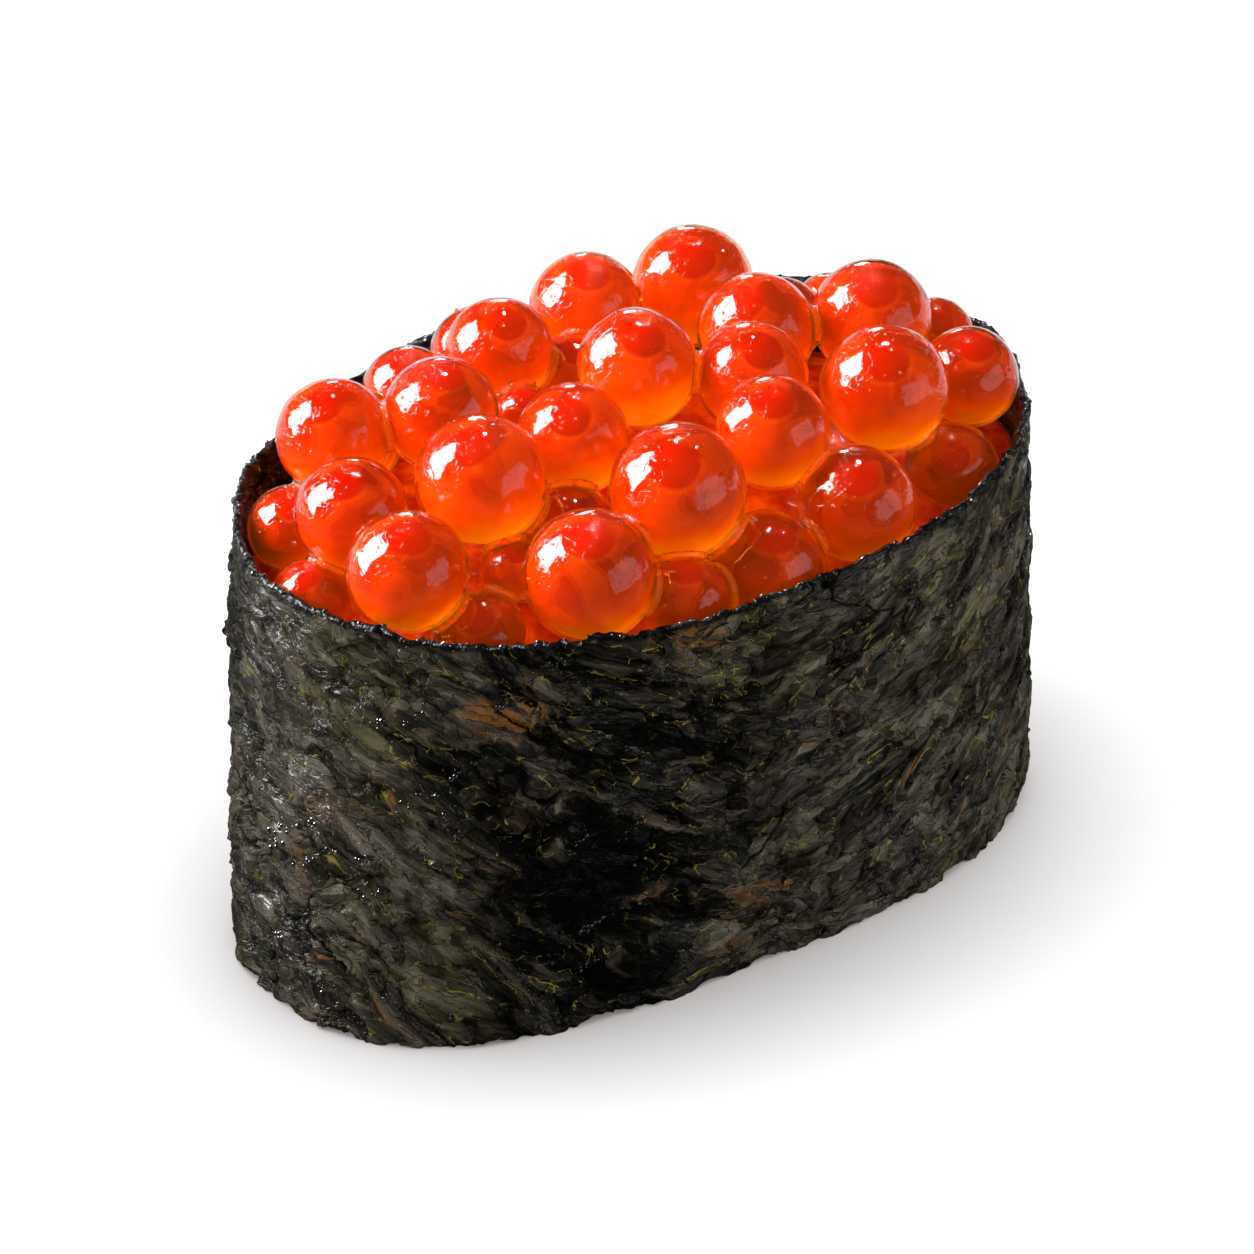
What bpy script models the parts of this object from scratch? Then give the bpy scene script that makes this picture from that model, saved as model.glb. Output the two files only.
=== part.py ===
"""Gunkan sushi: a hand-pressed block of rice with a seaweed belt around it and a heap of salmon roe on top.

The long side lies along X and the block stands on the ground at the middle of its underside.
Three pieces, each its own closed solid: nori_belt, rice_block and roe_heap.
"""

import math

import bmesh
import bpy
import numpy as np
from mathutils import Vector

MM = 0.001

# The belt, which gives the sushi its size
BELT_HEIGHT = 27.0 * MM
BASE_LENGTH = 50.6 * MM
BASE_WIDTH = 27.6 * MM
BASE_SQUARENESS = 2.6
RIM_LENGTH = 49.8 * MM
RIM_WIDTH = 34.0 * MM
RIM_SQUARENESS = 2.05
BELT_THICKNESS = 0.5 * MM
RIM_SLOPE = 0.018
RIM_WAVE = 0.22 * MM
CRINKLE = 0.16 * MM

# The lap at the back, where the end of the strip passes over its start
LAP_ANGLE = math.radians(112.0)
LAP_LENGTH = 9.0 * MM
LAP_THICKNESS = 0.35 * MM

# The filling
GAP = 0.3 * MM
RICE_TOP = 16.5 * MM
RICE_DOME = 1.2 * MM
HEAP_CORE_TOP = 29.6 * MM
HEAP_CORE_EDGE = 23.6 * MM

# The eggs that show: x, y, height above the belt, diameter, all in millimetres
CROWN_EGGS = (
    (-12.0, -2.5, 3.0, 7.4),
    (-5.0, -1.0, 3.0, 6.4),
    (1.5, 2.0, 4.0, 6.9),
    (7.0, -1.5, 3.5, 6.4),
    (-3.5, -9.0, 3.0, 7.7),
    (4.5, -8.0, 3.0, 6.5),
    (12.5, -6.5, 3.0, 7.3),
    (-10.5, 4.0, 4.0, 6.5),
    (-15.5, 7.0, 3.0, 6.5),
    (-3.5, 8.0, 3.5, 6.2),
    (4.5, 11.0, 2.0, 6.7),
    (12.5, 10.0, 1.5, 7.1),
    (11.5, 3.5, 2.5, 6.8),
    (17.5, 0.5, 2.5, 6.9),
)
SHOULDER_EGGS = (
    (-18.5, 1.0, 1.5, 6.4),
    (-18.5, -5.0, 1.0, 6.8),
    (-11.0, -11.0, 1.0, 7.4),
    (7.0, -12.5, 0.5, 6.7),
    (19.5, -5.5, 1.0, 5.8),
    (-2.5, 12.5, 1.0, 5.9),
    (15.5, 7.0, 1.0, 5.0),
    (1.0, 7.5, 1.5, 5.0),
    (-4.5, 4.5, 2.0, 3.8),
)
RIM_EGGS = (
    (-15.5, -7.0, -2.5, 5.6),
    (-5.5, -12.5, -1.5, 5.2),
    (0.0, -12.5, -1.5, 6.7),
    (16.0, -9.0, -2.5, 5.9),
    (-19.5, 6.5, -1.5, 5.0),
    (-21.5, 0.5, -2.0, 4.6),
    (-12.5, -5.5, -0.5, 3.9),
    (-7.5, -4.5, -0.5, 5.6),
    (21.5, 0.5, 0.5, 4.6),
    (-6.5, 12.5, 0.5, 5.2),
    (8.0, 13.0, -0.5, 4.6),
    (19.0, 7.5, 0.5, 4.4),
)
FILLER_DIAMETERS = (5.8 * MM, 7.0 * MM)
FILLER_LEVELS = (26.4 * MM, 23.4 * MM, 19.4 * MM)
FILLER_PITCH = 6.1 * MM
FILLER_CLEARANCE = 0.88
EGG_SEED = 11
EGG_SQUASH = 0.94
SETTLE_ROUNDS = 80

# How finely the curved faces are cut
COLUMNS = 88
BELT_ROWS = 9
EGG_SUBDIVISIONS = 2
EGG_FULLNESS = 1.06  # lets the flat faces of neighbours meet where the round eggs touch
MOUND_RINGS = (1.0, 0.8, 0.6, 0.4, 0.2)

COLOURS = {
    "nori_belt": ((0.012, 0.016, 0.009), 0.38),
    "rice_block": ((0.83, 0.80, 0.72), 0.45),
    "roe_heap": ((0.80, 0.09, 0.012), 0.12),
}


def clear_scene():
    for thing in list(bpy.data.objects):
        bpy.data.objects.remove(thing, do_unlink=True)


def mix(start, end, share):
    return start + (end - start) * share


def outline_reach(angle, height, inset=0.0):
    """Distance from the middle to the belt's outer face, in one direction at one height."""
    share = min(max(height / BELT_HEIGHT, 0.0), 1.0)
    half_length = mix(BASE_LENGTH, RIM_LENGTH, share) / 2 - inset
    half_width = mix(BASE_WIDTH, RIM_WIDTH, share) / 2 - inset
    power = mix(BASE_SQUARENESS, RIM_SQUARENESS, share)
    across = (abs(math.cos(angle)) / half_length) ** power
    along = (abs(math.sin(angle)) / half_width) ** power
    return (across + along) ** (-1.0 / power)


def even_angles(count):
    """Directions that cut the outline at mid-height into equal lengths."""
    fine = np.linspace(0.0, 2 * math.pi, 2001)
    reach = np.array([outline_reach(angle, BELT_HEIGHT / 2) for angle in fine])
    steps = np.hypot(np.diff(reach * np.cos(fine)), np.diff(reach * np.sin(fine)))
    run = np.concatenate(([0.0], np.cumsum(steps)))
    wanted = np.linspace(0.0, run[-1], count, endpoint=False)
    return np.interp(wanted, run, fine)


def crinkle(angle, height):
    """The low folds that the damp seaweed takes up as it is wrapped."""
    slant = 3.0 * height / BELT_HEIGHT
    broad = math.sin(5 * angle + slant) + 0.7 * math.sin(9 * angle - 1.7 * slant + 1.0)
    small = 0.5 * math.sin(17 * angle + 2.3 * slant + 2.0)
    return CRINKLE * (broad + small) / 2.2


def lap(angle):
    """Extra thickness where the end of the strip lies over its start."""
    reach = outline_reach(LAP_ANGLE, BELT_HEIGHT / 2)
    run = ((LAP_ANGLE - angle) % (2 * math.pi)) * reach
    if run > LAP_LENGTH:
        return 0.0
    return LAP_THICKNESS * (1.0 - run / LAP_LENGTH) ** 0.3


def rim_height(angle):
    """The belt's top edge, a little higher at the back and slightly wavy."""
    slope = RIM_SLOPE * outline_reach(angle, BELT_HEIGHT) * math.sin(angle)
    wave = math.sin(4 * angle + 0.6) + 0.6 * math.sin(11 * angle + 2.0)
    return BELT_HEIGHT + slope + RIM_WAVE * wave / 1.6


def ring(mesh, angles, height_of, reach_of):
    """One closed row of points, each at its own height and distance from the middle."""
    points = []
    for angle in angles:
        height = height_of(angle)
        reach = reach_of(angle, height)
        points.append(mesh.verts.new((reach * math.cos(angle), reach * math.sin(angle), height)))
    return points


def join_rings(mesh, lower, upper):
    count = len(lower)
    for i in range(count):
        after = (i + 1) % count
        mesh.faces.new((lower[i], lower[after], upper[after], upper[i]))


def close_ring(mesh, ring_points, centre, upward):
    """A fan of triangles from a row of points to its middle."""
    middle = mesh.verts.new(centre)
    count = len(ring_points)
    for i in range(count):
        pair = [ring_points[i], ring_points[(i + 1) % count]]
        if not upward:
            pair.reverse()
        mesh.faces.new((pair[0], pair[1], middle))


def make_object(name, mesh):
    data = bpy.data.meshes.new(name)
    bmesh.ops.recalc_face_normals(mesh, faces=mesh.faces)
    mesh.to_mesh(data)
    mesh.free()
    data.shade_smooth()
    data.set_sharp_from_angle(angle=math.radians(50))
    thing = bpy.data.objects.new(name, data)
    bpy.context.scene.collection.objects.link(thing)
    return thing


def make_belt(angles):
    """The seaweed strip, wrapped once round and open above and below."""
    mesh = bmesh.new()
    outer = []
    inner = []
    for row in range(BELT_ROWS + 1):
        share = row / BELT_ROWS
        outer.append(ring(
            mesh, angles,
            lambda angle: share * rim_height(angle),
            lambda angle, height: outline_reach(angle, height) + crinkle(angle, height) + lap(angle)))
        inner.append(ring(
            mesh, angles,
            lambda angle: share * rim_height(angle),
            lambda angle, height: outline_reach(angle, height, BELT_THICKNESS) + crinkle(angle, height)))
    for row in range(BELT_ROWS):
        join_rings(mesh, outer[row], outer[row + 1])
        join_rings(mesh, inner[row + 1], inner[row])
    join_rings(mesh, outer[-1], inner[-1])
    join_rings(mesh, inner[0], outer[0])
    return make_object("nori_belt", mesh)


def filling_reach(angle, height):
    """The face of what fills the belt, just clear of the belt's inner face."""
    return outline_reach(angle, height, BELT_THICKNESS + GAP) + crinkle(angle, height)


def make_rice(angles):
    """The pressed rice, flat below and domed above, out to the belt on all sides."""
    mesh = bmesh.new()
    heights = [RICE_TOP * share for share in (0.0, 0.25, 0.5, 0.75, 1.0)]
    rows = [ring(mesh, angles, lambda angle: height, filling_reach) for height in heights]
    for lower, upper in zip(rows, rows[1:]):
        join_rings(mesh, lower, upper)
    inside = ring(mesh, angles, lambda angle: RICE_TOP + RICE_DOME * 0.7,
                  lambda angle, height: 0.6 * filling_reach(angle, RICE_TOP))
    join_rings(mesh, rows[-1], inside)
    close_ring(mesh, inside, (0.0, 0.0, RICE_TOP + RICE_DOME), upward=True)
    close_ring(mesh, rows[0], (0.0, 0.0, 0.0), upward=False)
    return make_object("rice_block", mesh)


def listed_eggs():
    """The eggs that show, as rows of x, y, z and radius."""
    eggs = []
    for x, y, lift, diameter in CROWN_EGGS + SHOULDER_EGGS + RIM_EGGS:
        eggs.append((x * MM, y * MM, BELT_HEIGHT + lift * MM, diameter * MM / 2))
    return eggs


def filler_eggs(listed):
    """Eggs under and between the listed ones, on a loose staggered grid at two levels."""
    dice = np.random.default_rng(EGG_SEED)
    eggs = list(listed)
    row_pitch = FILLER_PITCH * math.sqrt(3) / 2
    for level, height in enumerate(FILLER_LEVELS):
        for row in range(-3, 4):
            for column in range(-5, 6):
                nudge = dice.uniform(-0.6, 0.6, 3) * MM
                radius = dice.uniform(*FILLER_DIAMETERS) / 2
                x = (column + 0.5 * ((row + level) % 2)) * FILLER_PITCH + nudge[0]
                y = (row + 0.4 * level) * row_pitch + nudge[1]
                z = height + nudge[2]
                if not inside_belt(x, y, z, radius):
                    continue
                if clear_of(eggs, (x, y, z), radius):
                    eggs.append((x, y, z, radius))
    return eggs


def inside_belt(x, y, z, radius):
    room = outline_reach(math.atan2(y, x), z, BELT_THICKNESS + GAP + radius)
    return math.hypot(x, y) <= room


def clear_of(eggs, place, radius):
    for egg in eggs:
        if math.dist(place, egg[:3]) < FILLER_CLEARANCE * (radius + egg[3]):
            return False
    return True


def settle(eggs):
    """Pushes touching eggs apart and keeps them inside the belt, as they find their places."""
    places = np.array([egg[:3] for egg in eggs])
    radii = np.array([egg[3] for egg in eggs])
    touching = EGG_SQUASH * (radii[:, None] + radii[None, :])
    for _ in range(SETTLE_ROUNDS):
        apart = places[:, None, :] - places[None, :, :]
        distance = np.linalg.norm(apart, axis=2)
        np.fill_diagonal(distance, 1.0)
        press = np.clip(touching - distance, 0.0, None)
        np.fill_diagonal(press, 0.0)
        places += 0.25 * (apart * (press / distance)[:, :, None]).sum(axis=1)
        for i, (x, y, z) in enumerate(places):
            spare = max(z - BELT_HEIGHT, 0.0)
            reach_at_rim = math.sqrt(max(radii[i] ** 2 - spare ** 2, 0.0))
            inset = BELT_THICKNESS + 2 * GAP + reach_at_rim
            room = outline_reach(math.atan2(y, x), min(z, BELT_HEIGHT), inset)
            reach = math.hypot(x, y)
            if reach > room:
                places[i, :2] *= room / reach
    return [(*place, radius) for place, radius in zip(places, radii)]


def make_egg(place, radius):
    mesh = bmesh.new()
    bmesh.ops.create_icosphere(mesh, subdivisions=EGG_SUBDIVISIONS, radius=radius * EGG_FULLNESS)
    bmesh.ops.translate(mesh, verts=mesh.verts, vec=Vector(place))
    return make_object("egg", mesh)


def make_heap_core(angles):
    """What lies under the eggs that show: a mound that fills the belt above the rice."""
    mesh = bmesh.new()
    bottom = RICE_TOP + RICE_DOME + GAP
    rows = [ring(mesh, angles, lambda angle: bottom, filling_reach)]
    for share in MOUND_RINGS:
        height = mix(HEAP_CORE_TOP, HEAP_CORE_EDGE, share ** 2)
        rows.append(ring(mesh, angles, lambda angle: height,
                         lambda angle, level: share * filling_reach(angle, HEAP_CORE_EDGE)))
    for lower, upper in zip(rows, rows[1:]):
        join_rings(mesh, lower, upper)
    close_ring(mesh, rows[-1], (0.0, 0.0, HEAP_CORE_TOP), upward=True)
    close_ring(mesh, rows[0], (0.0, 0.0, bottom), upward=False)
    return make_object("roe_heap", mesh)


def merge(target, tool):
    """Joins one solid to another for good."""
    union = target.modifiers.new("union", "BOOLEAN")
    union.operation = "UNION"
    union.solver = "EXACT"
    union.object = tool
    graph = bpy.context.evaluated_depsgraph_get()
    joined = bpy.data.meshes.new_from_object(target.evaluated_get(graph))
    target.modifiers.clear()
    old = target.data
    target.data = joined
    bpy.data.meshes.remove(old)
    bpy.data.objects.remove(tool, do_unlink=True)


def make_heap(angles):
    """The roe, one solid out to the outline of its eggs."""
    heap = make_heap_core([angles[i] for i in range(0, COLUMNS, 2)])
    for *place, radius in settle(filler_eggs(listed_eggs())):
        if place[2] + radius > HEAP_CORE_EDGE:
            merge(heap, make_egg(place, radius))
    heap.data.name = "roe_heap"
    return heap


def finish(thing, colour, roughness):
    material = bpy.data.materials.new(thing.name)
    material.use_nodes = True
    shader = material.node_tree.nodes["Principled BSDF"]
    shader.inputs["Base Color"].default_value = (*colour, 1.0)
    shader.inputs["Roughness"].default_value = roughness
    shader.inputs["Metallic"].default_value = 0.0
    thing.data.materials.clear()
    thing.data.materials.append(material)


def main():
    clear_scene()
    angles = even_angles(COLUMNS)
    pieces = [make_belt(angles), make_rice(angles), make_heap(angles)]
    for piece in pieces:
        colour, roughness = COLOURS[piece.name]
        finish(piece, colour, roughness)


main()
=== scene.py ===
"""Finish of a gunkan sushi: crinkled seaweed, pressed rice and a heap of wet salmon roe, on a pale floor."""

import math

import bmesh
import bpy
import numpy as np
from bpy.props import FloatProperty, FloatVectorProperty, PointerProperty
from bpy.types import Operator, Panel, PropertyGroup
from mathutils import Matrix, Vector


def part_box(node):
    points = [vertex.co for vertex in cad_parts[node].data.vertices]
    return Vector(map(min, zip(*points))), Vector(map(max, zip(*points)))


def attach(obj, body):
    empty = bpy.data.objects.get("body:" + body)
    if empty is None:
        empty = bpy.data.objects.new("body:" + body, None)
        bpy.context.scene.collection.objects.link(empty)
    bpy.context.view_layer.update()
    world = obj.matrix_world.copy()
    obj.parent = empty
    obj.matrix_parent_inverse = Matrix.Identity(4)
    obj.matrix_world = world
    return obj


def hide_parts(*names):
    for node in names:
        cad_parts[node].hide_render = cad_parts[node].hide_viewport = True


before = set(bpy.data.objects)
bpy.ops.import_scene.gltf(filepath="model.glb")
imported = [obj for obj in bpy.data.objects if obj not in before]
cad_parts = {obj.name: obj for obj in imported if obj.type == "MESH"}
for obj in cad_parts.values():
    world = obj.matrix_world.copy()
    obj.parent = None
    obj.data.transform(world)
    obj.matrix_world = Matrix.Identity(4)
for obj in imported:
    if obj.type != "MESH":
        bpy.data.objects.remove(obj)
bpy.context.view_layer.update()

bl_info = {
    "name": "Gunkan sushi",
    "version": (1, 0, 0),
    "blender": (4, 5, 0),
    "location": "View3D > Sidebar > Sushi",
    "description": "Builds the seaweed belt, the rice, the salmon roe and a plain stage",
    "category": "Object",
}

MM = 0.001
RICE_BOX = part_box("rice_block")

# The eggs that show: x, y, height above the belt, diameter, all in millimetres
CROWN_EGGS = (
    (-12.0, -2.5, 3.0, 7.4),
    (-5.0, -1.0, 3.0, 6.4),
    (1.5, 2.0, 4.0, 6.9),
    (7.0, -1.5, 3.5, 6.4),
    (-3.5, -9.0, 3.0, 7.7),
    (4.5, -8.0, 3.0, 6.5),
    (12.5, -6.5, 3.0, 7.3),
    (-10.5, 4.0, 4.0, 6.5),
    (-15.5, 7.0, 3.0, 6.5),
    (-3.5, 8.0, 3.5, 6.2),
    (4.5, 11.0, 2.0, 6.7),
    (12.5, 10.0, 1.5, 7.1),
    (11.5, 3.5, 2.5, 6.8),
    (17.5, 0.5, 2.5, 6.9),
)
SHOULDER_EGGS = (
    (-18.5, 1.0, 1.5, 6.4),
    (-18.5, -5.0, 1.0, 6.8),
    (-11.0, -11.0, 1.0, 7.4),
    (7.0, -12.5, 0.5, 6.7),
    (19.5, -5.5, 1.0, 5.8),
    (-2.5, 12.5, 1.0, 5.9),
    (15.5, 7.0, 1.0, 5.0),
    (1.0, 7.5, 1.5, 5.0),
    (-4.5, 4.5, 2.0, 3.8),
)
RIM_EGGS = (
    (-15.5, -7.0, -2.5, 5.6),
    (-5.5, -12.5, -1.5, 5.2),
    (0.0, -12.5, -1.5, 6.7),
    (16.0, -9.0, -2.5, 5.9),
    (-19.5, 6.5, -1.5, 5.0),
    (-21.5, 0.5, -2.0, 4.6),
    (-12.5, -5.5, -0.5, 3.9),
    (-7.5, -4.5, -0.5, 5.6),
    (21.5, 0.5, 0.5, 4.6),
    (-6.5, 12.5, 0.5, 5.2),
    (8.0, 13.0, -0.5, 4.6),
    (19.0, 7.5, 0.5, 4.4),
)
FILLER_DIAMETERS = (5.8 * MM, 7.0 * MM)
FILLER_LEVELS = (26.4 * MM, 23.4 * MM, 19.4 * MM)
FILLER_PITCH = 6.1 * MM
FILLER_CLEARANCE = 0.88
EGG_SEED = 11
EGG_SQUASH = 0.94
SETTLE_ROUNDS = 80
GAP = 0.3 * MM
WALL = 0.5 * MM


def length(name, description, default):
    return FloatProperty(name=name, description=description, default=default, unit="LENGTH", precision=5)


def share(name, description, default):
    return FloatProperty(name=name, description=description, default=default, min=0.0, max=1.0,
                         subtype="FACTOR")


def colour(name, description, default):
    return FloatVectorProperty(name=name, description=description, default=default, size=3, min=0.0, max=1.0,
                               subtype="COLOR")


class BeltSettings(PropertyGroup):
    height: length("Height", "From the ground to the rim at the front", 27.0 * MM)
    base_length: length("Base length", "Length of the outline on the ground", 50.6 * MM)
    base_width: length("Base width", "Width of the outline on the ground", 27.6 * MM)
    base_squareness: FloatProperty(name="Base squareness", description="Power of the base outline",
                                   default=2.6)
    rim_length: length("Rim length", "Length of the outline at the rim", 49.8 * MM)
    rim_width: length("Rim width", "Width of the outline at the rim", 34.0 * MM)
    rim_squareness: FloatProperty(name="Rim squareness", description="Power of the rim outline",
                                  default=2.05)
    thickness: length("Thickness", "Thickness of the damp sheet", 0.42 * MM)
    fold_depth: length("Fold depth", "Depth of the broad folds", 0.70 * MM)
    crinkle_depth: length("Crinkle depth", "Depth of the crinkles", 0.80 * MM)
    flake_depth: length("Flake depth", "Depth of the finest relief", 0.12 * MM)
    dark: colour("Dark", "The sheet where it is thick and wet", (0.0008, 0.0008, 0.0006))
    olive: colour("Olive", "The sheet where light comes through", (0.120, 0.118, 0.018))
    brown: colour("Brown", "Rusty patches", (0.150, 0.058, 0.012))
    grey: colour("Grey", "Dry flakes", (0.124, 0.108, 0.083))


class RoeSettings(PropertyGroup):
    unevenness: FloatProperty(name="Unevenness", description="How far an egg leaves a true ball, by radius",
                              default=0.035)
    yolk_share: share("Yolk share", "Radius of the coloured body by that of the skin", 0.89)
    spot_share: share("Spot share", "Radius of the oil spot by that of the yolk", 0.42)
    # Red, orange and amber colour the yolk and paint its light as well: deeper red is painted shade on the
    # side that faces the sky, amber is a painted glow on the underside.
    red: colour("Red", "The side of the yolk that faces the sky", (0.20, 0.012, 0.0003))
    orange: colour("Orange", "The middle of the yolk", (0.44, 0.034, 0.0003))
    amber: colour("Amber", "The side of the yolk that gathers the light", (0.92, 0.50, 0.001))
    spot: colour("Oil spot", "The oil that floats under the skin", (0.30, 0.002, 0.0003))
    brine: colour("Brine", "The wet film between the eggs", (0.60, 0.045, 0.001))


class RiceSettings(PropertyGroup):
    grain_length: length("Grain length", "Length of a cooked grain", 5.6 * MM)
    grain_width: length("Grain width", "Width of a cooked grain", 2.7 * MM)
    white: colour("White", "Cooked rice", (0.80, 0.77, 0.68))


class StageSettings(PropertyGroup):
    distance: length("Distance", "From the camera to the sushi", 405.0 * MM)
    azimuth: FloatProperty(name="Azimuth", description="Camera's turn about the upright axis",
                           default=math.radians(-35.275), subtype="ANGLE")
    elevation: FloatProperty(name="Elevation", description="Camera's height above the horizon",
                             default=math.radians(32.195), subtype="ANGLE")
    lens: FloatProperty(name="Lens", description="Focal length in millimetres", default=203.3)
    floor: colour("Floor", "Plain pale floor", (0.93, 0.93, 0.93))


# ---- node helpers

class Value:
    """A number, a vector or a geometry in a node tree. Sums and products of values are written as such."""

    def __init__(self, socket):
        self.socket = socket
        self.tree = socket.id_data

    def __add__(self, other):
        return combine("ADD", self, other)

    def __sub__(self, other):
        return combine("SUBTRACT", self, other)

    def __rsub__(self, other):
        return combine("SUBTRACT", other, self)

    def __mul__(self, other):
        return combine("MULTIPLY", self, other)

    def __pow__(self, other):
        return combine("POWER", self, other)

    def __abs__(self):
        return combine("ABSOLUTE", self)


def is_vector(value):
    return value.socket.type in ("VECTOR", "RGBA") if isinstance(value, Value) else isinstance(value, tuple)


def tree_of(*values):
    return next(value.tree for value in values if isinstance(value, Value))


def fill(node, inputs):
    """Sets a node's inputs to numbers and colours, or links them to values."""
    for key, value in inputs.items():
        socket = node.inputs[key]
        if isinstance(value, Value):
            node.id_data.links.new(value.socket, socket)
        elif socket.type == "RGBA":
            socket.default_value = (*value, 1.0)[:4]
        else:
            socket.default_value = value


def add(tree, kind, inputs=None, **settings):
    """A new node with its settings and inputs."""
    node = tree.nodes.new(kind)
    for key, value in settings.items():
        setattr(node, key, value)
    fill(node, inputs or {})
    return node


def made(tree, kind, inputs=None, output=0, **settings):
    """What a new node gives out."""
    return Value(add(tree, kind, inputs, **settings).outputs[output])


def combine(operation, *values):
    """One step of arithmetic, on vectors where any of its values is a vector."""
    tree = tree_of(*values)
    if not any(is_vector(value) for value in values):
        return made(tree, "ShaderNodeMath", dict(enumerate(values)), operation=operation)
    if operation == "MULTIPLY" and not all(is_vector(value) for value in values):
        first, second = sorted(values, key=is_vector, reverse=True)
        return made(tree, "ShaderNodeVectorMath", {"Vector": first, "Scale": second}, operation="SCALE")
    values = [(value,) * 3 if isinstance(value, float) else value for value in values]
    output = "Value" if operation in ("DOT_PRODUCT", "DISTANCE") else "Vector"
    return made(tree, "ShaderNodeVectorMath", dict(enumerate(values)), output, operation=operation)


def larger(first, second):
    return combine("MAXIMUM", first, second)


def dot(first, second):
    return combine("DOT_PRODUCT", first, second)


def parts(vector):
    return [Value(socket) for socket in add(vector.tree, "ShaderNodeSeparateXYZ", {"Vector": vector}).outputs]


def joined(x, y, z):
    return made(tree_of(x, y, z), "ShaderNodeCombineXYZ", {"X": x, "Y": y, "Z": z})


PATTERN = ("Scale", "Detail", "Roughness", "Distortion")


def noise(place, scale, detail=4.0, roughness=0.55, distortion=0.0, output=0, **settings):
    values = dict(zip(("Vector", *PATTERN), (place, scale, detail, roughness, distortion)))
    return made(place.tree, "ShaderNodeTexNoise", values, output, **settings)


def remap(value, low, high, to_low=0.0, to_high=1.0, smooth=True):
    """A value moved from one range to another, and kept inside it."""
    values = {"Value": value, "From Min": low, "From Max": high, "To Min": to_low, "To Max": to_high}
    kind = "SMOOTHSTEP" if smooth else "LINEAR"
    return made(value.tree, "ShaderNodeMapRange", values, interpolation_type=kind)


def blend(part, first, second, mode="MIX"):
    """One colour turned by some part into another."""
    return made(tree_of(part, first, second), "ShaderNodeMix", {0: part, 6: first, 7: second}, 2,
                data_type="RGBA", blend_type=mode)


def relief(height, strength, distance):
    """The normal of a surface that rises and falls with a value."""
    inputs = {"Strength": strength, "Distance": distance, "Height": height}
    return made(height.tree, "ShaderNodeBump", inputs)


def ramp(value, stops):
    node = add(value.tree, "ShaderNodeValToRGB", {"Fac": value})
    elements = node.color_ramp.elements
    while len(elements) < len(stops):
        elements.new(0.5)
    for element, (place, shade) in zip(elements, stops):
        element.position = place
        element.color = (*shade, 1.0)
    return Value(node.outputs["Color"])


def named(tree, name, kind="FLOAT_VECTOR"):
    """What a mesh stores under a name, in a geometry node tree."""
    return made(tree, "GeometryNodeInputNamedAttribute", {"Name": name}, "Attribute", data_type=kind)


def keep(geometry, name, value):
    """Stores a vector on every point of a geometry."""
    inputs = {"Geometry": geometry, "Name": name, "Value": value}
    return made(geometry.tree, "GeometryNodeStoreNamedAttribute", inputs, data_type="FLOAT_VECTOR",
                domain="POINT")


def attribute(tree, name, output="Vector"):
    """What a mesh stores under a name, in a material."""
    return made(tree, "ShaderNodeAttribute", None, output, attribute_name=name)


def new_tree(name, kind, inputs, outputs):
    """A node tree with named inputs and outputs: its inputs as values, and its last node."""
    tree = bpy.data.node_groups.new(name, kind)
    for way, sockets in (("INPUT", inputs), ("OUTPUT", outputs)):
        for label, sort in sockets.items():
            tree.interface.new_socket(label, in_out=way, socket_type="NodeSocket" + sort)
    given = {socket.name: Value(socket) for socket in tree.nodes.new("NodeGroupInput").outputs if socket.name}
    return given, tree.nodes.new("NodeGroupOutput"), tree


def shaping_tree(name, *sizes):
    """A geometry node tree with its sizes and its material as inputs."""
    inputs = {"Geometry": "Geometry", **dict.fromkeys(sizes, "Float"), "Material": "Material"}
    return new_tree(name, "GeometryNodeTree", inputs, {"Geometry": "Geometry"})


def close_tree(geometry, given, last):
    """Ends a geometry node tree, with every instance made real and in its material."""
    real = made(geometry.tree, "GeometryNodeRealizeInstances", {"Geometry": geometry})
    painted = {"Geometry": real, "Material": given["Material"]}
    fill(last, {0: made(geometry.tree, "GeometryNodeSetMaterial", painted)})
    return geometry.tree


def grow(source, tree, values):
    """Runs a geometry node tree on an object, and keeps the result as its plain mesh."""
    modifier = source.modifiers.new(tree.name, "NODES")
    modifier.node_group = tree
    for item in tree.interface.items_tree:
        if item.in_out == "INPUT" and item.name in values:
            modifier[item.identifier] = values[item.name]
    graph = bpy.context.evaluated_depsgraph_get()
    grown = bpy.data.meshes.new_from_object(source.evaluated_get(graph), preserve_all_data_layers=True,
                                            depsgraph=graph)
    source.modifiers.remove(modifier)
    old = source.data
    source.data = grown
    bpy.data.meshes.remove(old)
    grown.name = source.name


# ---- mesh helpers

def new_object(name, data):
    thing = bpy.data.objects.new(name, data)
    bpy.context.scene.collection.objects.link(thing)
    return thing


def new_mesh(name, spots, faces):
    data = bpy.data.meshes.new(name)
    data.from_pydata(np.asarray(spots).reshape(-1, 3).tolist(), [], faces)
    return data


def store(data, values):
    """Keeps numbers or vectors on the points of a mesh, each kind under its name."""
    for name, numbers in values.items():
        flat = np.asarray(numbers, dtype=np.float32).ravel()
        kind = "FLOAT_VECTOR" if len(flat) == 3 * len(data.vertices) else "FLOAT"
        layer = data.attributes.new(name, kind, "POINT")
        layer.data.foreach_set("vector" if kind == "FLOAT_VECTOR" else "value", flat)


def scattered(name, spots, values, tree, sizes, material):
    """An object grown by a geometry node tree from loose points that store their own values."""
    data = new_mesh(name, spots, [])
    store(data, values)
    piece = new_object(name, data)
    grow(piece, tree, {**sizes, "Material": material})
    return piece


def ring_faces(rings, columns):
    """Four-sided faces between rings of points, with the last ring joined to the first."""
    index = np.arange(rings * columns).reshape(rings, columns)
    ahead = np.roll(index, -1, axis=0)
    return np.stack([index, np.roll(index, -1, axis=1), np.roll(ahead, -1, axis=1), ahead], axis=-1)


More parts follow.
